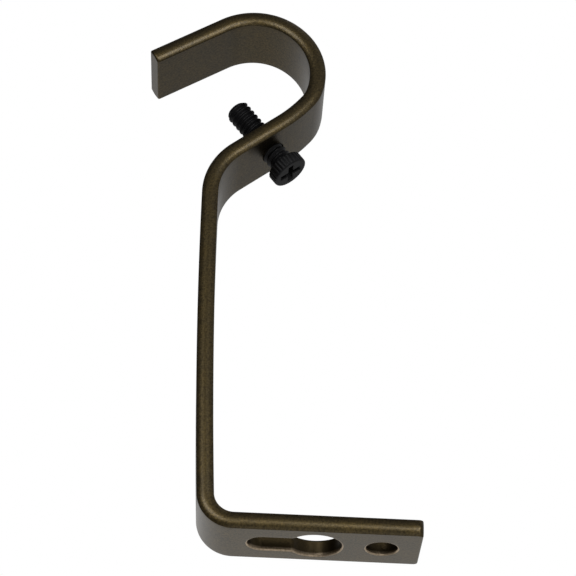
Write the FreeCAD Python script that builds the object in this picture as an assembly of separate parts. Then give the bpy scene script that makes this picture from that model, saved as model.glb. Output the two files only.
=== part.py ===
import FreeCAD, Part
import math
import os

# Curtain pole bracket: one flat steel strip, bent on edge lines, and one screw
# that clamps the pole in the strip's hook.
#
# Frame, in millimetres: the wall is the plane X = 0 and the bracket stands out
# from it along +X. +Z is up. Y = 0 is the middle of the strip's width. Z = 0 is
# the centre of the round fixing hole.

# Strip
strip_width = 13.0
strip_thickness = 2.9
edge_crown = 0.45           # how far the narrow edges bulge, in their middle
edge_radius = 0.3           # rounding between the broad sides and the edges
plate_corner_radius = 0.8   # corners of the wall plate's free end
nose_corner_radius = 0.4    # corners of the hook's free end

# Path of the strip, from the wall plate's free end to the hook's nose. Each
# radius is the one on the inside of its bend. Angles are turns, in degrees.
plate_length = 31.0
wall_bend_radius = 3.4
wall_bend_angle = 86.5
arm_length = 57.8
arm_bow_angle = 3.2         # the arm droops a little towards its end
shoulder_radius = 10.1
shoulder_angle = 51.8
slope_length = 9.8          # flat stretch that carries the clamp screw
lead_in_radius = 25.0
lead_in_angle = 14.5
hook_heel_radius = 5.7
hook_heel_angle = 19.8
hook_seat_radius = 10.5
hook_seat_angle = 76.1
hook_rise_radius = 9.5
hook_rise_angle = 63.0
nose_length = 14.9

# Holes in the wall plate, measured from its free end
fixing_hole_diameter = 5.2
fixing_hole_from_end = 6.4
keyhole_entry_diameter = 8.8
keyhole_entry_from_end = 17.4
keyhole_slot_width = 5.2
keyhole_slot_length = 8.6   # from the entry's centre to the centre of the slot's end
hole_rim_radius = 0.3

# Clamp screw. Distances along its axis run from the middle of the strip,
# positive into the hook.
screw_along_slope = 7.2     # from the start of the flat stretch
screw_thread_diameter = 4.5
screw_thread_clearance = 0.05
screw_reach = 9.9           # to the tip
screw_tip_chamfer = 0.5
screw_head_diameter = 6.8
screw_head_height = 2.2
screw_head_gap = 3.15       # open thread between the strip and the head
screw_head_rim_radius = 0.4
screw_head_base_chamfer = 0.2
knurl_count = 30
knurl_radius = 0.2
knurl_depth = 0.12
recess_span = 4.3           # cross recess, over its two arms
recess_arm_width = 1.05
recess_depth = 1.6
recess_core_diameter = 2.0  # what is left of the recess at its bottom

half_width = strip_width / 2.0
half_thickness = strip_thickness / 2.0


def straight(length):
    return {"length": length, "turn": 0.0}


def arc(inner_radius, angle, outward):
    """A bend of the strip. It turns outward and down, or back up and inward."""
    middle_radius = inner_radius + half_thickness
    turn = angle if outward else -angle
    return {"length": middle_radius * math.radians(angle), "turn": turn}


strip_path = [
    straight(plate_length),
    arc(wall_bend_radius, wall_bend_angle, outward=True),
    {"length": arm_length, "turn": arm_bow_angle},
    arc(shoulder_radius, shoulder_angle, outward=True),
    straight(slope_length),
    arc(lead_in_radius, lead_in_angle, outward=False),
    arc(hook_heel_radius, hook_heel_angle, outward=False),
    arc(hook_seat_radius, hook_seat_angle, outward=False),
    arc(hook_rise_radius, hook_rise_angle, outward=False),
    straight(nose_length),
]
SLOPE = 4


class Station:
    """A place on the strip's middle line. Heading 0 points up, 90 away from the wall."""

    def __init__(self, x, z, heading):
        self.x = x
        self.z = z
        self.heading = heading

    def ahead(self, length, turn):
        """The station after a stretch of this length that turns evenly."""
        start = math.radians(self.heading)
        swing = math.radians(turn)
        if abs(turn) < 1e-9:
            chord = length
        else:
            chord = length * math.sin(swing / 2.0) / (swing / 2.0)
        direction = start + swing / 2.0
        x = self.x + chord * math.sin(direction)
        z = self.z + chord * math.cos(direction)
        return Station(x, z, self.heading + turn)

    def side(self, offset, y=0.0):
        """The point this far to the side that faces the wall at the plate."""
        angle = math.radians(self.heading)
        x = self.x - offset * math.cos(angle)
        z = self.z + offset * math.sin(angle)
        return FreeCAD.Vector(x, y, z)


def station_at(index):
    """The station where stretch number index starts."""
    here = strip_start
    for stretch in strip_path[:index]:
        here = here.ahead(stretch["length"], stretch["turn"])
    return here


strip_start = Station(half_thickness, -fixing_hole_from_end, 0.0)
nose_end = station_at(len(strip_path))
slope_start = station_at(SLOPE)
screw_station = slope_start.ahead(screw_along_slope, 0.0)


def bar_section(station):
    """The bar cut across at a station: two flat sides and two crowned edges."""
    flat = half_width - edge_crown
    wall_side = [station.side(half_thickness, y) for y in (-flat, flat)]
    room_side = [station.side(-half_thickness, y) for y in (flat, -flat)]
    far_crown = station.side(0.0, half_width)
    near_crown = station.side(0.0, -half_width)
    edges = [
        Part.LineSegment(wall_side[0], wall_side[1]),
        Part.Arc(wall_side[1], far_crown, room_side[0]),
        Part.LineSegment(room_side[0], room_side[1]),
        Part.Arc(room_side[1], near_crown, wall_side[0]),
    ]
    return Part.Face(Part.Wire([edge.toShape() for edge in edges]))


def bent_strip():
    """The bar, pushed along each straight stretch and swung round each bend."""
    stretches = []
    here = strip_start
    for stretch in strip_path:
        section = bar_section(here)
        end = here.ahead(stretch["length"], stretch["turn"])
        swing = math.radians(stretch["turn"])
        if swing == 0.0:
            piece = section.extrude(end.side(0.0) - here.side(0.0))
        else:
            centre = here.side(-stretch["length"] / swing)
            axis = FreeCAD.Vector(0, math.copysign(1.0, swing), 0)
            piece = section.revolve(centre, axis, abs(stretch["turn"]))
        stretches.append(piece)
        here = end
    return stretches[0].fuse(stretches[1:]).removeSplitter()


def corner_edges(solid, station):
    """The two edges through the thickness at one end of the strip."""
    ends = [station.side(half_thickness), station.side(-half_thickness)]
    found = []
    for edge in solid.Edges:
        near = 0
        for vertex in edge.Vertexes:
            flat = FreeCAD.Vector(vertex.X, 0, vertex.Z)
            if min(flat.distanceToPoint(end) for end in ends) < 1e-4:
                near += 1
        across = edge.BoundBox.YLength > half_width
        if near == 2 and not across:
            found.append(edge)
    return found


def is_broad(face):
    """True on the two broad sides, false on the narrow edges and the ends."""
    u0, u1, v0, v1 = face.ParameterRange
    normal = face.normalAt((u0 + u1) / 2.0, (v0 + v1) / 2.0)
    if abs(normal.y) > 1e-3:
        return False
    centre = face.CenterOfMass
    for station in (strip_start, nose_end):
        if math.hypot(centre.x - station.x, centre.z - station.z) < half_thickness / 2.0:
            return False
    return face.BoundBox.YLength > strip_width / 2.0


def rim_edges(solid):
    """The outlines of the two broad sides, without the seams between its faces."""
    found = []
    for edge in solid.Edges:
        faces = solid.ancestorsOfType(edge, Part.Face)
        broad = [face for face in faces if is_broad(face)]
        if len(broad) == 1:
            found.append(edge)
    return found


def plate_hole_tools():
    """What the round hole and the keyhole take out of the wall plate."""
    depth = 3.0 * strip_thickness
    inward = FreeCAD.Vector(1, 0, 0)

    def drill(diameter, z):
        start = FreeCAD.Vector(-strip_thickness, 0, z)
        return Part.makeCylinder(diameter / 2.0, depth, start, inward)

    fixing = drill(fixing_hole_diameter, 0.0)
    entry_z = keyhole_entry_from_end - fixing_hole_from_end
    slot_z = entry_z + keyhole_slot_length
    corner = FreeCAD.Vector(-strip_thickness, -keyhole_slot_width / 2.0, entry_z)
    slot = Part.makeBox(depth, keyhole_slot_width, keyhole_slot_length, corner)
    keyhole = drill(keyhole_entry_diameter, entry_z).fuse([slot, drill(keyhole_slot_width, slot_z)])
    return [fixing, keyhole.removeSplitter()]


def plate_hole_rims(solid):
    """The edges of the plate's holes, on the wall side and on the room side."""
    found = []
    margin = edge_crown + edge_radius
    inside = half_width - margin - 1e-3
    for edge in solid.Edges:
        box = edge.BoundBox
        on_plate = box.ZMax < plate_length - fixing_hole_from_end - 1e-3
        flat = box.XLength < 1e-5 and min(abs(box.XMin), abs(box.XMin - strip_thickness)) < 1e-5
        within = max(abs(box.YMin), abs(box.YMax)) < inside
        free_of_end = box.ZMin > margin - fixing_hole_from_end + 1e-3
        if on_plate and flat and within and free_of_end:
            found.append(edge)
    return found


def on_screw_axis(shape):
    """Moves a shape from the screw's own axis, +Z into the hook, to the slope."""
    lean = FreeCAD.Rotation(FreeCAD.Vector(0, 1, 0), screw_station.heading - 90.0)
    seat = FreeCAD.Vector(screw_station.x, 0, screw_station.z)
    shape.Placement = FreeCAD.Placement(seat, lean)
    return shape


def make_bracket_strip():
    solid = bent_strip()
    solid = solid.makeFillet(plate_corner_radius, corner_edges(solid, strip_start))
    solid = solid.makeFillet(nose_corner_radius, corner_edges(solid, nose_end))
    solid = solid.makeFillet(edge_radius, rim_edges(solid))
    solid = solid.cut(plate_hole_tools())
    solid = solid.makeFillet(hole_rim_radius, plate_hole_rims(solid))
    bore_radius = screw_thread_diameter / 2.0 + screw_thread_clearance
    bore = Part.makeCylinder(bore_radius, 3.0 * strip_thickness, FreeCAD.Vector(0, 0, -1.5 * strip_thickness))
    return solid.cut(on_screw_axis(bore))


def screw_blank():
    """The turned screw: head, thread at its full diameter and bevelled tip."""
    thread = screw_thread_diameter / 2.0
    head = screw_head_diameter / 2.0
    head_base = -half_thickness - screw_head_gap
    head_face = head_base - screw_head_height
    rim = screw_head_rim_radius
    rim_middle = rim * (1.0 - math.sqrt(0.5))
    corners = [
        (0.0, head_face),
        (head - rim, head_face),
        (head, head_face + rim),
        (head, head_base - screw_head_base_chamfer),
        (head - screw_head_base_chamfer, head_base),
        (thread, head_base),
        (thread, screw_reach - screw_tip_chamfer),
        (thread - screw_tip_chamfer, screw_reach),
        (0.0, screw_reach),
    ]
    places = [FreeCAD.Vector(radius, 0, z) for radius, z in corners]
    rounding = FreeCAD.Vector(head - rim_middle, 0, head_face + rim_middle)
    edges = [Part.LineSegment(places[0], places[1]).toShape()]
    edges.append(Part.Arc(places[1], rounding, places[2]).toShape())
    for start, end in zip(places[2:], places[3:] + places[:1]):
        edges.append(Part.LineSegment(start, end).toShape())
    section = Part.Face(Part.Wire(edges))
    return section.revolve(FreeCAD.Vector(0, 0, 0), FreeCAD.Vector(0, 0, 1), 360)


def knurl_grooves():
    """Straight grooves round the head, for the fingers."""
    head = screw_head_diameter / 2.0
    head_base = -half_thickness - screw_head_gap
    start = head_base - screw_head_height
    grooves = []
    for index in range(knurl_count):
        angle = 2.0 * math.pi * (index + 0.5) / knurl_count
        distance = head + knurl_radius - knurl_depth
        centre = FreeCAD.Vector(distance * math.cos(angle), distance * math.sin(angle), start)
        grooves.append(Part.makeCylinder(knurl_radius, screw_head_height, centre, FreeCAD.Vector(0, 0, 1)))
    return grooves


def cross_recess():
    """The driver's cross: two arms that narrow towards a common core."""
    head_face = -half_thickness - screw_head_gap - screw_head_height
    arms = []
    for length, width in ((recess_span, recess_arm_width), (recess_arm_width, recess_span)):
        corner = FreeCAD.Vector(-length / 2.0, -width / 2.0, head_face)
        arms.append(Part.makeBox(length, width, recess_depth, corner))
    cone = Part.makeCone(
        recess_span / 2.0,
        recess_core_diameter / 2.0,
        recess_depth,
        FreeCAD.Vector(0, 0, head_face),
        FreeCAD.Vector(0, 0, 1),
    )
    return arms[0].fuse(arms[1]).common(cone)


def make_clamp_screw():
    screw = screw_blank().cut(knurl_grooves())
    screw = screw.cut(cross_recess())
    return on_screw_axis(screw)


def only_solid(shape):
    """The one solid that a piece has to be."""
    solids = shape.Solids
    if len(solids) != 1 or not solids[0].isValid():
        raise ValueError("a piece isn't one valid solid")
    return solids[0]


os.makedirs("parts", exist_ok=True)
only_solid(make_bracket_strip()).exportStep("parts/bracket_strip.step")
only_solid(make_clamp_screw()).exportStep("parts/clamp_screw.step")
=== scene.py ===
import math

import bmesh
import bpy
from mathutils import Matrix, Vector


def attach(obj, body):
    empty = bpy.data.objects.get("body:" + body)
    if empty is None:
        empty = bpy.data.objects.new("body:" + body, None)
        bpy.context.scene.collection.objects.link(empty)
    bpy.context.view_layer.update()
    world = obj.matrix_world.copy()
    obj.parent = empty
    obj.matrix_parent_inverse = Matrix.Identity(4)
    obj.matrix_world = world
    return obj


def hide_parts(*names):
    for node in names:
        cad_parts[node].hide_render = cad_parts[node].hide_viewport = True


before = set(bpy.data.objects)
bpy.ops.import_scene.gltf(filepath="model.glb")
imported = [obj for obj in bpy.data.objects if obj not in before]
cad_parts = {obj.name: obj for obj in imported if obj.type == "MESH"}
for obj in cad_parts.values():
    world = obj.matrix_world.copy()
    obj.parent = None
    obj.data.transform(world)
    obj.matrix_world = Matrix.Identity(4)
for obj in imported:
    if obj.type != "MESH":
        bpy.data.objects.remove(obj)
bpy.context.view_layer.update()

# Curtain pole bracket: a bent strip in dark bronze paint, with its black clamp
# screw. Metres, in the frame of the CAD: the wall is the plane X = 0, the strip
# stands out from it along +X, and +Z is up.

MM = 0.001


def add_object(name, data):
    """A new object in the scene, for this mesh, lamp or camera."""
    thing = bpy.data.objects.new(name, data)
    bpy.context.scene.collection.objects.link(thing)
    return thing


# Shader nodes --------------------------------------------------------------


def new_material(name):
    material = bpy.data.materials.new(name)
    material.use_nodes = True
    nodes = material.node_tree.nodes
    return material, nodes, material.node_tree.links, nodes["Principled BSDF"]


def feed(links, value, socket):
    """Gives an input what another socket puts out, or a plain colour or number."""
    if isinstance(value, bpy.types.NodeSocket):
        links.new(value, socket)
    elif isinstance(value, tuple):
        socket.default_value = (*value, 1.0)
    else:
        socket.default_value = value


def calculate(nodes, links, operation, first, second):
    """What a math node makes of two sockets or numbers."""
    node = nodes.new("ShaderNodeMath")
    node.operation = operation
    feed(links, first, node.inputs[0])
    feed(links, second, node.inputs[1])
    return node.outputs["Value"]


def between(nodes, links, share, low, high):
    """A number that goes from low to high as the share goes from 0 to 1."""
    node = nodes.new("ShaderNodeMapRange")
    node.inputs["To Min"].default_value = low
    node.inputs["To Max"].default_value = high
    links.new(share, node.inputs["Value"])
    return node.outputs["Result"]


def mix(nodes, links, share, base, over, blend="MIX"):
    """The base colour, with the other colour over it by this share."""
    node = nodes.new("ShaderNodeMix")
    node.data_type = "RGBA"
    node.blend_type = blend
    feed(links, share, node.inputs["Factor"])
    feed(links, base, node.inputs["A"])
    feed(links, over, node.inputs["B"])
    return node.outputs["Result"]


def ramp(nodes, links, source, stops):
    """A colour that goes from stop to stop, each a position and its colour."""
    node = nodes.new("ShaderNodeValToRGB")
    elements = node.color_ramp.elements
    for element, (position, colour) in zip(elements, stops[:2]):
        element.position = position
        element.color = (*colour, 1.0)
    for position, colour in stops[2:]:
        elements.new(position).color = (*colour, 1.0)
    links.new(source, node.inputs["Fac"])
    return node.outputs["Color"]


# Camera and studio ---------------------------------------------------------

CAMERA_PLACE = Vector((-143.341, -343.304, 25.308)) * MM
CAMERA_RIGHT = Vector((0.030445, -0.041342, -0.998681))
CAMERA_UP = Vector((0.872659, -0.486089, 0.046726))
CAMERA_BACK = Vector((-0.48738, -0.872931, 0.021278))
CAMERA_LENS = 140.508       # this and the sensor's width in millimetres
CAMERA_SENSOR = 36.0

LOOKED_AT = Vector((50.0, 0.0, 20.0)) * MM

# Where the tent's cloth has each of its greys, from its back, 0, to its front, 1.
TENT_BACK, TENT_SIDES, TENT_FRONT = 0.12, 0.30, 0.75


def make_camera():
    data = bpy.data.cameras.new("photo_camera")
    data.lens = CAMERA_LENS
    data.sensor_width = CAMERA_SENSOR
    data.clip_start = 0.01
    data.clip_end = 20.0
    camera = add_object("photo_camera", data)
    turn = Matrix((CAMERA_RIGHT, CAMERA_UP, CAMERA_BACK)).transposed()
    camera.matrix_world = Matrix.Translation(CAMERA_PLACE) @ turn.to_4x4()
    bpy.context.scene.camera = camera


def from_angles(azimuth, elevation):
    """A direction from the object: 0, 0 is the camera, and 90, 0 the picture's right."""
    a, e = math.radians(azimuth), math.radians(elevation)
    right, up, back = math.sin(a) * math.cos(e), math.sin(e), math.cos(a) * math.cos(e)
    return (CAMERA_RIGHT * right + CAMERA_UP * up + CAMERA_BACK * back).normalized()


def softbox(name, toward, distance, width, height, radiance):
    """A studio lamp with an oblong cloth. Its radiance is what a mirror would show of it."""
    data = bpy.data.lights.new(name, "AREA")
    data.shape = "RECTANGLE"
    data.size = width
    data.size_y = height
    data.energy = radiance * math.pi * width * height
    across = CAMERA_UP.cross(toward).normalized()
    turn = Matrix((across, toward.cross(across), toward)).transposed()
    lamp = add_object(name, data)
    lamp.matrix_world = Matrix.Translation(LOOKED_AT + toward * distance) @ turn.to_4x4()


def glow(name, radiance):
    """A material that gives off an even light and has no colour of its own."""
    material = bpy.data.materials.new(name)
    material.use_nodes = True
    nodes, links = material.node_tree.nodes, material.node_tree.links
    nodes.clear()
    out = nodes.new("ShaderNodeOutputMaterial")
    light = nodes.new("ShaderNodeEmission")
    light.inputs["Strength"].default_value = radiance
    links.new(light.outputs["Emission"], out.inputs["Surface"])
    return material


def show_in_gloss_only(thing):
    thing.visible_camera = False
    thing.visible_diffuse = False
    thing.visible_transmission = False
    thing.visible_volume_scatter = False
    thing.visible_shadow = False


def rectangle(name, width, height):
    w, h = width / 2.0, height / 2.0
    mesh = bpy.data.meshes.new(name)
    corners = [(-w, -h, 0.0), (w, -h, 0.0), (w, h, 0.0), (-w, h, 0.0)]
    mesh.from_pydata(corners, [], [(0, 1, 2, 3)])
    return mesh


def card(name, place, away, width, height, radiance):
    """A grey card beside the object, which only its gloss shows."""
    mesh = rectangle(name, width, height)
    mesh.materials.append(glow(name, radiance))
    piece = add_object(name, mesh)
    turn = away.normalized().to_track_quat("Z", "Y").to_matrix().to_4x4()
    piece.matrix_world = Matrix.Translation(place) @ turn
    show_in_gloss_only(piece)


def light_tent(radius, front, sides, back):
    """The dim cloth round the whole table, as the paint's gloss shows it."""
    cloth = glow("light_tent", radiance=1.0)
    nodes, links = cloth.node_tree.nodes, cloth.node_tree.links
    place = nodes.new("ShaderNodeTexCoord")
    depth = nodes.new("ShaderNodeSeparateXYZ")
    links.new(place.outputs["Generated"], depth.inputs["Vector"])
    greys = [(TENT_BACK, back), (TENT_SIDES, sides), (TENT_FRONT, front)]
    stops = [(position, (grey, grey, grey)) for position, grey in greys]
    tone = ramp(nodes, links, depth.outputs["Z"], stops)
    links.new(tone, nodes["Emission"].inputs["Color"])
    mesh = bpy.data.meshes.new("light_tent")
    shell = bmesh.new()
    bmesh.ops.create_icosphere(shell, subdivisions=3, radius=radius)
    shell.to_mesh(mesh)
    shell.free()
    mesh.materials.append(cloth)
    tent = add_object("light_tent", mesh)
    turn = CAMERA_BACK.to_track_quat("Z", "Y").to_matrix().to_4x4()
    tent.matrix_world = Matrix.Translation(LOOKED_AT) @ turn
    show_in_gloss_only(tent)


def seen_rays(nodes, links):
    """1 for what the camera, a reflection or clear glass shows, 0 for the light on matter."""
    path = nodes.new("ShaderNodeLightPath").outputs
    seen = calculate(nodes, links, "MAXIMUM", path["Is Camera Ray"], path["Is Glossy Ray"])
    return calculate(nodes, links, "MAXIMUM", seen, path["Is Transmission Ray"])


def make_world(level):
    """White where it is seen, and a plain grey light on what is matte."""
    world = bpy.data.worlds.new("studio")
    bpy.context.scene.world = world
    world.use_nodes = True
    nodes, links = world.node_tree.nodes, world.node_tree.links
    nodes.clear()
    out = nodes.new("ShaderNodeOutputWorld")
    back = nodes.new("ShaderNodeBackground")
    back.inputs["Color"].default_value = (1.0, 1.0, 1.0, 1.0)
    strength = between(nodes, links, seen_rays(nodes, links), level, 1.0)
    links.new(strength, back.inputs["Strength"])
    links.new(back.outputs["Background"], out.inputs["Surface"])


def make_floor(height, size, lift):
    """A plain pale floor, well below the bracket, lifted to white where it is seen."""
    material, nodes, links, shader = new_material("floor")
    shader.inputs["Base Color"].default_value = (0.8, 0.8, 0.8, 1.0)
    shader.inputs["Roughness"].default_value = 0.9
    shader.inputs["Specular IOR Level"].default_value = 0.0
    shader.inputs["Emission Color"].default_value = (1.0, 1.0, 1.0, 1.0)
    glow_when_seen = calculate(nodes, links, "MULTIPLY", seen_rays(nodes, links), lift)
    links.new(glow_when_seen, shader.inputs["Emission Strength"])
    mesh = rectangle("floor", size, size)
    mesh.materials.append(material)
    floor = add_object("floor", mesh)
    floor.location = (0.0, 0.0, height)


# Materials -----------------------------------------------------------------

BRONZE_DARK = (0.035, 0.025, 0.0081)
BRONZE_GOLD = (0.099, 0.0725, 0.0272)
BROWN_PATCH = (0.90, 0.90, 0.97)    # the slow mottling multiplies the bronze by these two
GOLD_PATCH = (1.08, 1.04, 0.96)
# Painted shade inside the holes, and a painted highlight on their lips:
HOLE_WALL_SHADE = (0.041, 0.030, 0.015)
# A painted highlight on the holes' lips.
LIP_HIGHLIGHT = (0.54, 0.425, 0.295)
CLEAR_COAT = 0.39                   # over the bronze, and less of it inside the holes

SCREW_BLACK = (0.0025, 0.0025, 0.0030)
SCREW_CHARCOAL = (0.0050, 0.0050, 0.0060)


def make_fleck_group():
    """Grain of a sprayed coat: bright flecks, slow mottling and a fine bump."""
    group = bpy.data.node_groups.new("sprayed_grain", "ShaderNodeTree")
    for name in ("Fleck Size", "Mottle Size", "Bump"):
        group.interface.new_socket(name, in_out="INPUT", socket_type="NodeSocketFloat")
    for name in ("Flecks", "Mottling"):
        group.interface.new_socket(name, in_out="OUTPUT", socket_type="NodeSocketFloat")
    group.interface.new_socket("Normal", in_out="OUTPUT", socket_type="NodeSocketVector")
    nodes, links = group.nodes, group.links
    given = nodes.new("NodeGroupInput")
    made = nodes.new("NodeGroupOutput")
    place = nodes.new("ShaderNodeTexCoord")

    def noise(size, detail, roughness):
        node = nodes.new("ShaderNodeTexNoise")
        node.inputs["Detail"].default_value = detail
        node.inputs["Roughness"].default_value = roughness
        scale = calculate(nodes, links, "DIVIDE", 1.0, given.outputs[size])
        links.new(scale, node.inputs["Scale"])
        links.new(place.outputs["Object"], node.inputs["Vector"])
        return node.outputs["Fac"]

    flecks = noise("Fleck Size", detail=2.0, roughness=0.7)
    mottling = noise("Mottle Size", detail=3.0, roughness=0.55)
    bump = nodes.new("ShaderNodeBump")
    bump.inputs["Strength"].default_value = 1.0
    links.new(given.outputs["Bump"], bump.inputs["Distance"])
    links.new(flecks, bump.inputs["Height"])
    links.new(flecks, made.inputs["Flecks"])
    links.new(mottling, made.inputs["Mottling"])
    links.new(bump.outputs["Normal"], made.inputs["Normal"])
    return group


def place_group(nodes, group, **values):
    """Puts a node group in a material, with its own values."""
    node = nodes.new("ShaderNodeGroup")
    node.node_tree = group
    for name, value in values.items():
        node.inputs[name.replace("_", " ")].default_value = value
    return node


def bronze_paint(grain):
    """Sprayed bronze with a clear coat, with a painted highlight on the holes' lips, and
    painted shade and less coat on their walls.
    """
    material, nodes, links, shader = new_material("bronze_paint")
    coat = place_group(nodes, grain, Fleck_Size=0.00036, Mottle_Size=0.004, Bump=0.000014)
    flecks, mottling = coat.outputs["Flecks"], coat.outputs["Mottling"]
    bronze = ramp(nodes, links, flecks, [(0.32, BRONZE_DARK), (0.70, BRONZE_GOLD)])
    patches = ramp(nodes, links, mottling, [(0.38, BROWN_PATCH), (0.62, GOLD_PATCH)])
    bronze = mix(nodes, links, 1.0, bronze, patches, blend="MULTIPLY")

    marks = nodes.new("ShaderNodeVertexColor")
    marks.layer_name = "plate_holes"
    kinds = nodes.new("ShaderNodeSeparateColor")
    links.new(marks.outputs["Color"], kinds.inputs["Color"])
    lip, wall = kinds.outputs["Red"], kinds.outputs["Green"]
    # A painted highlight on the holes' lips, speckled by the flecks.
    spots = ramp(nodes, links, flecks, [(0.38, (0.6, 0.6, 0.6)), (0.60, (1.0, 1.0, 1.0))])
    painted_lip_highlight = calculate(nodes, links, "MULTIPLY", lip, spots)
    # Painted shade on the holes' walls and lips, with less clear coat there too.
    bronze_with_wall_shade = mix(nodes, links, wall, bronze, HOLE_WALL_SHADE)
    links.new(mix(nodes, links, painted_lip_highlight, bronze_with_wall_shade, LIP_HIGHLIGHT), shader.inputs["Base Color"])
    links.new(between(nodes, links, wall, CLEAR_COAT, 0.0), shader.inputs["Coat Weight"])
    links.new(coat.outputs["Normal"], shader.inputs["Normal"])
    shader.inputs["Metallic"].default_value = 1.0
    shader.inputs["Roughness"].default_value = 0.37
    shader.inputs["Coat Roughness"].default_value = 0.24
    return material


def black_screw(grain):
    """The screw's matte black, a little uneven."""
    material, nodes, links, shader = new_material("black_screw")
    coat = place_group(nodes, grain, Fleck_Size=0.00025, Mottle_Size=0.002, Bump=0.000002)
    mottling = coat.outputs["Mottling"]
    black = ramp(nodes, links, mottling, [(0.3, SCREW_BLACK), (0.7, SCREW_CHARCOAL)])
    links.new(black, shader.inputs["Base Color"])
    links.new(coat.outputs["Normal"], shader.inputs["Normal"])
    shader.inputs["Roughness"].default_value = 0.48
    shader.inputs["Specular IOR Level"].default_value = 0.22
    return material


def give(piece, material):
    piece.data.materials.clear()
    piece.data.materials.append(material)


# Mesh tools ----------------------------------------------------------------


def arc(across, along, radius, start, end, steps):
    """Places on an arc. The first number goes with the sine, the second with the cosine."""
    turns = [start + (end - start) * index / steps for index in range(steps + 1)]
    return [(across + radius * math.sin(a), along + radius * math.cos(a)) for a in turns]


def rounding(radius, steps):
    """A rounded edge, from face to side: how deep each place lies, and how far out."""
    turns = [math.radians(90.0 * index / steps) for index in range(steps + 1)]
    return [(radius * (1.0 - math.cos(a)), radius * (1.0 - math.sin(a))) for a in turns]


def add_prism(shape, levels):
    """A closed solid through outlines of equally many points, in millimetres."""
    rings = [
        [shape.verts.new((x * MM, y * MM, z * MM)) for x, y, z in level]
        for level in levels
    ]
    count = len(rings[0])
    for ring, following in zip(rings, rings[1:]):
        for index in range(count):
            after = (index + 1) % count
            shape.faces.new((ring[index], ring[after], following[after], following[index]))
    shape.faces.new(rings[0][::-1])
    shape.faces.new(rings[-1])


def finished(name, shape):
    """Turns mesh code into a piece, with its faces outward."""
    bmesh.ops.recalc_face_normals(shape, faces=shape.faces)
    mesh = bpy.data.meshes.new(name)
    shape.to_mesh(mesh)
    shape.free()
    return add_object(name, mesh)


def cut_away(piece, cutter):
    """Takes the cutter out of the piece, and throws the cutter away."""
    cut = piece.modifiers.new("cut", "BOOLEAN")
    cut.operation = "DIFFERENCE"
    cut.solver = "EXACT"
    cut.object = cutter
    bpy.context.view_layer.update()
    evaluated = piece.evaluated_get(bpy.context.evaluated_depsgraph_get())
    mesh = bpy.data.meshes.new_from_object(evaluated)
    mesh.name = piece.name
    piece.modifiers.clear()
    piece.data = mesh
    bpy.data.objects.remove(cutter)


def shade_evenly(piece, sharp_angle):
    """Smooth shading that flat faces rule, with the edges above this angle kept sharp."""
    piece.data.shade_smooth()
    piece.data.set_sharp_from_angle(angle=math.radians(sharp_angle))
    even = piece.modifiers.new("even_shading", "WEIGHTED_NORMAL")
    even.keep_sharp = True


# Bracket strip -------------------------------------------------------------

# The same strip as in the CAD, in millimetres, with evenly spaced faces for an
# even gloss. A stretch is its length on the middle line and its turn in degrees.
STRIP_PATH = [
    (31.0, 0.0),            # wall plate
    (7.32209, 86.5),        # bend at the wall
    (57.8, 3.2),            # arm, which droops a little
    (10.44213, 51.8),       # shoulder
    (9.8, 0.0),             # slope, which carries the clamp screw
    (6.69377, -14.5),       # hook: lead-in, heel, seat and rise
    (2.47086, -19.8),
    (15.87194, -76.1),
    (12.04015, -63.0),
    (14.9, 0.0),            # nose
]
PLATE_END = (1.45, -6.4)    # X and Z of the middle line
LARGEST_TURN = 1.5          # from one station to the next, in degrees
LONGEST_STEP = 2.0

HALF_WIDTH = 6.5
HALF_THICKNESS = 1.45
EDGE_CROWN = 0.45
EDGE_RADIUS = 0.3
PLATE_CORNER = 0.8
NOSE_CORNER = 0.4

ROUNDING_STEPS = 6
CORNER_STEPS = 10
CROWN_STEPS = 16
FLAT_STEPS = 11             # odd, so that no row of places runs through the holes' middle

FIXING_HOLE = (0.0, 2.6)    # Z and radius
KEYHOLE_ENTRY = (11.0, 4.4)
KEYHOLE_SLOT = (19.6, 2.6)  # Z of its round end, and half its width
KEYHOLE_NECK = 1.0          # rounds the slot's opening, where the CAD has sharp corners
HOLE_RIM = 0.3
CUT_PAST = 1.0              # how far the holes' cutters stand out of the plate
HOLE_STEPS = 72
ENTRY_STEPS = 60
NECK_STEPS = 10
SLOT_STEPS = 30

# The painted highlight on a hole's lip fades out between these depths from the wall side.
LIP_HIGHLIGHT_FROM = 0.25
LIP_HIGHLIGHT_TO = 0.7
WALL_SHADE_SHARE = 0.8         # how much painted shade a hole's lip and wall get
SIDE_MARGIN = 0.001         # both keep the marks off the plate's two sides
RIM_MARGIN = 0.01

# The screw's own axis points into the hook as its +Z. Its zero is the middle of
# the strip's slope.
SCREW_AT = Vector((77.342, 0.0, 21.365)) * MM
SCREW_LEAN = math.radians(51.5)
BORE_RADIUS = 2.3
BORE_REACH = 5.0            # how far its cutter goes to each side of the slope's middle


def on_screw_axis(point):
    """From the screw's own axis to the slope of the strip."""
    return SCREW_AT + Matrix.Rotation(SCREW_LEAN, 3, "Y") @ point


def strip_stations():
    """Places along the middle line: X, Z, heading and distance from the plate's end."""
    x, z = PLATE_END
    heading, travelled = 0.0, 0.0
    stations = [(x, z, heading, travelled)]
    for length, turn in STRIP_PATH:
        steps = max(math.ceil(abs(turn) / LARGEST_TURN), math.ceil(length / LONGEST_STEP))
        step, swing = length / steps, math.radians(turn) / steps
        chord = step if turn == 0.0 else step * math.sin(swing / 2.0) / (swing / 2.0)
        for _ in range(steps):
            x += chord * math.sin(heading + swing / 2.0)
            z += chord * math.cos(heading + swing / 2.0)
            heading += swing
            travelled += step
            stations.append((x, z, heading, travelled))
    return stations


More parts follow.
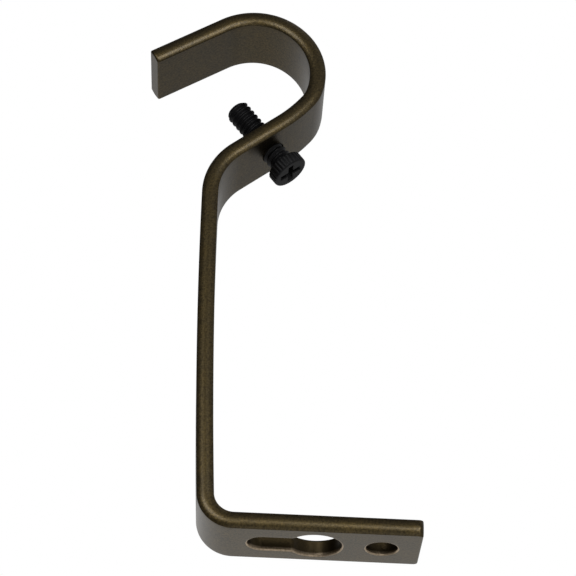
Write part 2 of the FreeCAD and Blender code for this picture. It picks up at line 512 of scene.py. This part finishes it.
def end_stations(station, corner, way):
    """Stations from a free end inward, close enough together for its rounded corners."""
    x, z, heading, travelled = station
    roundings = rounding(corner, CORNER_STEPS) + rounding(EDGE_RADIUS, ROUNDING_STEPS)
    steps = [way * inset for inset in sorted({inset for inset, _ in roundings})]
    ahead_x, ahead_z = math.sin(heading), math.cos(heading)
    return [(x + s * ahead_x, z + s * ahead_z, heading, travelled + s) for s in steps]


def drawn_in(radius, inset):
    """How far a corner of this radius has drawn the outline in, this far from the end."""
    if inset >= radius:
        return 0.0
    return radius - math.sqrt(max(0.0, radius ** 2 - (radius - inset) ** 2))


def edge_outline():
    """Half of the section at the edge, from one flat side to the other: offset and Y."""
    crown = (HALF_THICKNESS ** 2 + EDGE_CROWN ** 2) / (2.0 * EDGE_CROWN)
    crown_y = HALF_WIDTH - crown
    corner_offset = HALF_THICKNESS - EDGE_RADIUS
    corner_y = crown_y + math.sqrt((crown - EDGE_RADIUS) ** 2 - corner_offset ** 2)
    meet = math.asin(corner_offset / (crown - EDGE_RADIUS))
    corner = arc(corner_offset, corner_y, EDGE_RADIUS, math.pi / 2.0, meet, ROUNDING_STEPS)
    bulge = arc(0.0, crown_y, crown, meet, -meet, CROWN_STEPS)[1:-1]
    return corner + bulge + [(-offset, y) for offset, y in corner[::-1]]


def section(pull, thinning):
    """The strip's whole outline, with its edges pulled in and its sides brought together."""
    most = HALF_THICKNESS - thinning
    far = [(max(-most, min(most, offset)), y - pull) for offset, y in edge_outline()]
    near = [(-offset, -y) for offset, y in far]
    flat = far[0][1]
    across = [flat * (1.0 - 2.0 * index / FLAT_STEPS) for index in range(1, FLAT_STEPS)]
    return far + [(-most, y) for y in across] + near + [(most, -y) for y in across]


def make_strip_body():
    """The strip without its holes, ring by ring from the plate's end to the nose."""
    along = strip_stations()
    total = along[-1][3]
    plate_end = end_stations(along[0], PLATE_CORNER, 1.0)
    nose_end = end_stations(along[-1], NOSE_CORNER, -1.0)[::-1]
    levels = []
    for x, z, heading, travelled in plate_end + along[1:-1] + nose_end:
        left = total - travelled
        pull = drawn_in(PLATE_CORNER, travelled) + drawn_in(NOSE_CORNER, left)
        thinning = drawn_in(EDGE_RADIUS, travelled) + drawn_in(EDGE_RADIUS, left)
        levels.append([
            (x - offset * math.cos(heading), y, z + offset * math.sin(heading))
            for offset, y in section(pull, thinning)
        ])
    shape = bmesh.new()
    add_prism(shape, levels)
    return finished("bracket_strip_body", shape)


def fixing_hole_outline(grow):
    """The fixing hole's outline in Y and Z, this much larger all round."""
    z, radius = FIXING_HOLE
    return arc(0.0, z, radius + grow, 0.0, math.tau, HOLE_STEPS)[:-1]


def keyhole_outline(grow):
    """The keyhole's outline in Y and Z, this much larger all round."""
    entry_z, entry = KEYHOLE_ENTRY
    slot_z, slot = KEYHOLE_SLOT
    neck_y = slot + KEYHOLE_NECK
    neck_rise = math.sqrt((entry + KEYHOLE_NECK) ** 2 - neck_y ** 2)
    opening = math.atan2(neck_y, neck_rise)
    bottom = arc(0.0, entry_z, entry + grow, opening, math.tau - opening, ENTRY_STEPS)
    neck_centre = (neck_y, entry_z + neck_rise)
    neck = arc(*neck_centre, grow - KEYHOLE_NECK, opening, math.pi / 2.0, NECK_STEPS)[1:]
    top = arc(0.0, slot_z, slot + grow, -math.pi / 2.0, math.pi / 2.0, SLOT_STEPS)
    return bottom + [(-y, z) for y, z in neck] + top + neck[::-1]


def add_plate_cutter(shape, outline):
    """A cutter through the plate, which flares at both sides for the rounded rims."""
    flare = [(-CUT_PAST, HOLE_RIM)] + rounding(HOLE_RIM, ROUNDING_STEPS)
    other_flare = [(2.0 * HALF_THICKNESS - x, grow) for x, grow in flare[::-1]]
    # A ring at the depth where the painted highlight on the lip has faded out.
    levels = flare + [(LIP_HIGHLIGHT_TO, 0.0)] + other_flare
    add_prism(shape, [[(x, y, z) for y, z in outline(grow)] for x, grow in levels])


def add_bore_cutter(shape):
    """A cutter for the screw's hole, square to the slope."""
    ring = arc(0.0, 0.0, BORE_RADIUS, 0.0, math.tau, HOLE_STEPS)[:-1]
    levels = []
    for end in (-BORE_REACH, BORE_REACH):
        levels.append([tuple(on_screw_axis(Vector((a, b, end)) * MM) / MM) for a, b in ring])
    add_prism(shape, levels)


def hole_gap(y, z):
    """How far a place on the plate lies outside the nearest hole's wall."""
    fixing = math.hypot(y, z - FIXING_HOLE[0]) - FIXING_HOLE[1]
    entry = math.hypot(y, z - KEYHOLE_ENTRY[0]) - KEYHOLE_ENTRY[1]
    slot_end = math.hypot(y, z - KEYHOLE_SLOT[0]) - KEYHOLE_SLOT[1]
    beside_slot = KEYHOLE_ENTRY[0] < z < KEYHOLE_SLOT[0]
    slot_side = abs(y) - KEYHOLE_SLOT[1] if beside_slot else slot_end
    return min(fixing, entry, slot_end, slot_side)


def mark_plate_holes(mesh):
    """Marks a painted highlight on the holes' lips in red, and painted shade on their walls in
    green.
    """
    marks = mesh.color_attributes.new("plate_holes", "FLOAT_COLOR", "POINT")
    thickness = 2.0 * HALF_THICKNESS
    for vertex, mark in zip(mesh.vertices, marks.data):
        x, y, z = vertex.co / MM
        between_sides = SIDE_MARGIN < x < thickness - SIDE_MARGIN
        painted_lip_highlight, painted_wall_shade = 0.0, 0.0
        # On a hole's lip and wall: painted shade, and over the lip a painted highlight that
        # fades with depth.
        if between_sides and hole_gap(y, z) < HOLE_RIM - RIM_MARGIN:
            painted_lip_highlight = min(1.0, max(0.0, (LIP_HIGHLIGHT_TO - x) / (LIP_HIGHLIGHT_TO - LIP_HIGHLIGHT_FROM)))
            painted_wall_shade = WALL_SHADE_SHARE
        mark.color = (painted_lip_highlight, painted_wall_shade, 0.0, 1.0)


def make_bracket_strip():
    """The bent strip with its fixing hole, its keyhole and the screw's hole."""
    piece = make_strip_body()
    holes = bmesh.new()
    add_plate_cutter(holes, fixing_hole_outline)
    add_plate_cutter(holes, keyhole_outline)
    add_bore_cutter(holes)
    cut_away(piece, finished("hole_cutters", holes))
    mark_plate_holes(piece.data)
    shade_evenly(piece, sharp_angle=35.0)
    return piece


# Clamp screw ---------------------------------------------------------------

# In millimetres, on the screw's own axis.
SCREW_COLUMNS = 180

THREAD_RADIUS = 2.25
THREAD_PITCH = 1.06
THREAD_DEPTH = 0.4
THREAD_FLANK = 1.3          # how steeply a ridge's sides fall
THREAD_CREST = 0.15         # how wide its flat crest is
THREAD_RUN_OUT = 0.7        # length of the groove's fading out below the head
THREAD_ROW = THREAD_PITCH / 15.0
TIP = 9.9
TIP_CHAMFER = 0.5

HEAD_BASE = -4.6
HEAD_FACE = -6.8
HEAD_RADIUS = 3.4
HEAD_RIM = 0.4
HEAD_BASE_CHAMFER = 0.2
KNURLS = 30
KNURL_RADIUS = 0.2
KNURL_DEPTH = 0.12

RECESS_SPAN = 4.3
RECESS_ARM = 1.05
RECESS_DEPTH = 1.55
RECESS_BOTTOM_SPAN = 2.0
RECESS_BOTTOM_ARM = 0.75
RECESS_MOUTH = 0.12         # depth of the bevel at its mouth
RECESS_CUT_PAST = 0.2       # the cutter starts this far outside the head
RECESS_CUT_WIDER = 0.7      # and is this much wider there, for the bevel


def thread_radius(z, angle):
    """A ridge with sloping sides and a narrow flat crest, which runs out at the head."""
    turn = (z / THREAD_PITCH - angle / math.tau) % 1.0
    from_crest = min(turn, 1.0 - turn) * 2.0
    groove = min(1.0, max(0.0, from_crest * THREAD_FLANK - THREAD_CREST))
    run_out = min(1.0, max(0.0, (z - HEAD_BASE) / THREAD_RUN_OUT))
    bevel = THREAD_RADIUS - TIP_CHAMFER + max(0.0, TIP - z)
    return min(THREAD_RADIUS - THREAD_DEPTH * groove * run_out, bevel)


def knurl_radius(angle):
    """The head's side, with a round groove between every two ribs."""
    step = math.tau / KNURLS
    off = (angle % step) - step / 2.0
    middle = HEAD_RADIUS + KNURL_RADIUS - KNURL_DEPTH
    across = middle * math.sin(off)
    if abs(across) >= KNURL_RADIUS:
        return HEAD_RADIUS
    return min(HEAD_RADIUS, middle * math.cos(off) - math.sqrt(KNURL_RADIUS ** 2 - across ** 2))


def screw_rows():
    """Rings of the screw from the tip to the head's face: a height and a radius by angle."""
    rows = []
    count = round((TIP - HEAD_BASE) / THREAD_ROW)
    for index in range(count + 1):
        z = TIP + (HEAD_BASE - TIP) * index / count
        rows.append((z, lambda angle, z=z: thread_radius(z, angle)))
    head = [
        (HEAD_BASE, HEAD_RADIUS - HEAD_BASE_CHAMFER),
        (HEAD_BASE - HEAD_BASE_CHAMFER, HEAD_RADIUS),
    ]
    for inward, above_face in rounding(HEAD_RIM, ROUNDING_STEPS):
        head.append((HEAD_FACE + above_face, HEAD_RADIUS - inward))
    for z, radius in head:
        rows.append((z, lambda angle, radius=radius: min(radius, knurl_radius(angle))))
    return rows


def cross_outline(span, arm):
    """The twelve corners of a cross, anticlockwise."""
    s, a = span / 2.0, arm / 2.0
    right, top = [(s, -a), (s, a)], [(a, a), (a, s), (-a, s)]
    left, bottom = [(-a, a), (-s, a), (-s, -a)], [(-a, -a), (-a, -s), (a, -s), (a, -a)]
    return right + top + left + bottom


def recess_cutter():
    """The driver's cross as a solid, with a small bevel at its mouth."""
    wider = RECESS_CUT_WIDER
    levels = [
        (HEAD_FACE - RECESS_CUT_PAST, RECESS_SPAN + wider, RECESS_ARM + wider),
        (HEAD_FACE + RECESS_MOUTH, RECESS_SPAN, RECESS_ARM),
        (HEAD_FACE + RECESS_DEPTH, RECESS_BOTTOM_SPAN, RECESS_BOTTOM_ARM),
    ]
    shape = bmesh.new()
    add_prism(shape, [[(x, y, z) for x, y in cross_outline(*size)] for z, *size in levels])
    return finished("recess_cutter", shape)


def make_clamp_screw():
    """The whole screw: bevelled tip, thread, knurled head and cross recess."""
    angles = [math.tau * column / SCREW_COLUMNS for column in range(SCREW_COLUMNS)]
    shape = bmesh.new()
    add_prism(shape, [
        [(radius(a) * math.cos(a), radius(a) * math.sin(a), z) for a in angles]
        for z, radius in screw_rows()
    ])
    piece = finished("clamp_screw_body", shape)
    cut_away(piece, recess_cutter())
    shade_evenly(piece, sharp_angle=38.0)
    piece.matrix_world = Matrix.Translation(SCREW_AT) @ Matrix.Rotation(SCREW_LEAN, 4, "Y")
    return piece


# The studio ----------------------------------------------------------------

make_camera()
make_world(level=0.35)
make_floor(height=-0.6, size=6.0, lift=0.75)
light_tent(radius=4.0, front=0.18, sides=0.1, back=0.34)
softbox(
    "left_softbox", toward=from_angles(-18.0, 37.0), distance=1.1,
    width=0.44, height=0.34, radiance=5.4,
)
softbox(
    "right_softbox", toward=from_angles(21.0, 31.0), distance=1.1,
    width=0.38, height=0.32, radiance=5.5,
)
card(
    "grey_card_plate", place=Vector((-0.02, 0.06, 0.02)), away=Vector((0.0, 1.0, 0.0)),
    width=0.10, height=0.12, radiance=0.71,
)
card(
    "grey_card_back", place=Vector((-0.02, 0.42, 0.04)), away=Vector((-0.15, 0.98, 0.05)),
    width=0.9, height=0.9, radiance=0.5,
)
card(
    "grey_card_below", place=Vector((0.05, 0.3, -0.15)), away=Vector((0.0, 0.0, -1.0)),
    width=1.4, height=1.4, radiance=0.38,
)
low_front = from_angles(0.0, -38.0)
card(
    "grey_card_front", place=LOOKED_AT + low_front * 0.5, away=low_front,
    width=0.7, height=0.22, radiance=0.7,
)
overhead = from_angles(4.0, 70.0)
card(
    "grey_card_top", place=LOOKED_AT + overhead * 0.5, away=overhead,
    width=0.24, height=0.4, radiance=0.27,
)
bpy.context.scene.view_settings.view_transform = "Standard"


# The bracket ---------------------------------------------------------------

grain = make_fleck_group()

strip = make_bracket_strip()
give(strip, bronze_paint(grain))
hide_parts("bracket_strip")
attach(strip, "bracket")

screw = make_clamp_screw()
give(screw, black_screw(grain))
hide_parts("clamp_screw")
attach(screw, "screw")
